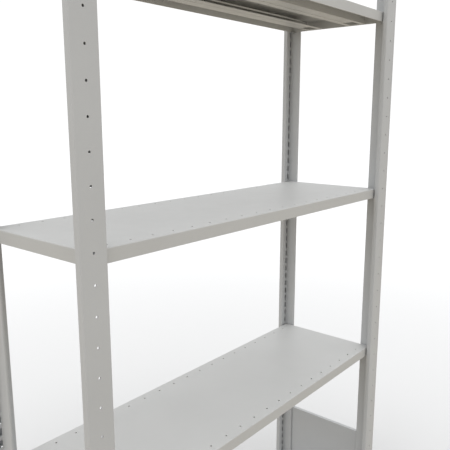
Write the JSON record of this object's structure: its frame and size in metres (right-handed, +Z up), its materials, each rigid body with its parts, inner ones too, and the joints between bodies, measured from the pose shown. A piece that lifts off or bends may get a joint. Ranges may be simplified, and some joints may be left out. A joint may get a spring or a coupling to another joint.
{
  "type": "gondola shelving unit",
  "caption": "Free-standing boltless steel shelving bay in light grey paint: slotted T-section posts, clip-in shelves and low side panels at the base.",
  "frame": {"origin": "on the floor at the centre of the footprint", "axes": "+Z up, +X to the right along the shelves as seen from the front, -Y out of the open front"},
  "size_m": [1.053, 0.329, 2],
  "materials": {
    "post_paint": "satin powder coat, light grey",
    "shelf_paint": "satin powder coat, light grey",
    "zinc_plate": "bright zinc plate",
    "foot_steel": "satin powder coat, light grey"
  },
  "bodies": {
    "frame": {"post_front_left": "post_paint", "foot_plate_front_left": "foot_steel", "post_front_right": "post_paint", "foot_plate_front_right": "foot_steel", "post_rear_left": "post_paint", "foot_plate_rear_left": "foot_steel", "post_rear_right": "post_paint", "foot_plate_rear_right": "foot_steel", "clip_1_front_left": "zinc_plate", "clip_1_front_right": "zinc_plate", "clip_1_rear_left": "zinc_plate", "clip_1_rear_right": "zinc_plate", "clip_2_front_left": "zinc_plate", "clip_2_front_right": "zinc_plate", "clip_2_rear_left": "zinc_plate", "clip_2_rear_right": "zinc_plate", "clip_3_front_left": "zinc_plate", "clip_3_front_right": "zinc_plate", "clip_3_rear_left": "zinc_plate", "clip_3_rear_right": "zinc_plate", "clip_4_front_left": "zinc_plate", "clip_4_front_right": "zinc_plate", "clip_4_rear_left": "zinc_plate", "clip_4_rear_right": "zinc_plate", "clip_5_front_left": "zinc_plate", "clip_5_front_right": "zinc_plate", "clip_5_rear_left": "zinc_plate", "clip_5_rear_right": "zinc_plate", "side_panel_left": "post_paint", "side_panel_right": "post_paint"},
    "shelf_1": {"shelf_1_deck": "shelf_paint", "shelf_1_front_rail": "shelf_paint", "shelf_1_rear_rail": "shelf_paint"},
    "shelf_2": {"shelf_2_deck": "shelf_paint", "shelf_2_front_rail": "shelf_paint", "shelf_2_rear_rail": "shelf_paint"},
    "shelf_3": {"shelf_3_deck": "shelf_paint", "shelf_3_front_rail": "shelf_paint", "shelf_3_rear_rail": "shelf_paint"},
    "shelf_4": {"shelf_4_deck": "shelf_paint", "shelf_4_front_rail": "shelf_paint", "shelf_4_rear_rail": "shelf_paint"},
    "shelf_5": {"shelf_5_deck": "shelf_paint", "shelf_5_front_rail": "shelf_paint", "shelf_5_rear_rail": "shelf_paint"}
  },
  "joints": [
    {"name": "shelf_1_lift", "type": "slide", "parent": "frame", "child": "shelf_1", "axis": [0, 0, 1], "range_m": [0, 0.43]},
    {"name": "shelf_2_lift", "type": "slide", "parent": "frame", "child": "shelf_2", "axis": [0, 0, 1], "range_m": [0, 0.43]},
    {"name": "shelf_3_lift", "type": "slide", "parent": "frame", "child": "shelf_3", "axis": [0, 0, 1], "range_m": [0, 0.43]},
    {"name": "shelf_4_lift", "type": "slide", "parent": "frame", "child": "shelf_4", "axis": [0, 0, 1], "range_m": [0, 0.43]},
    {"name": "shelf_5_lift", "type": "slide", "parent": "frame", "child": "shelf_5", "axis": [0, 0, 1], "range_m": [0, 0.06]}
  ]
}
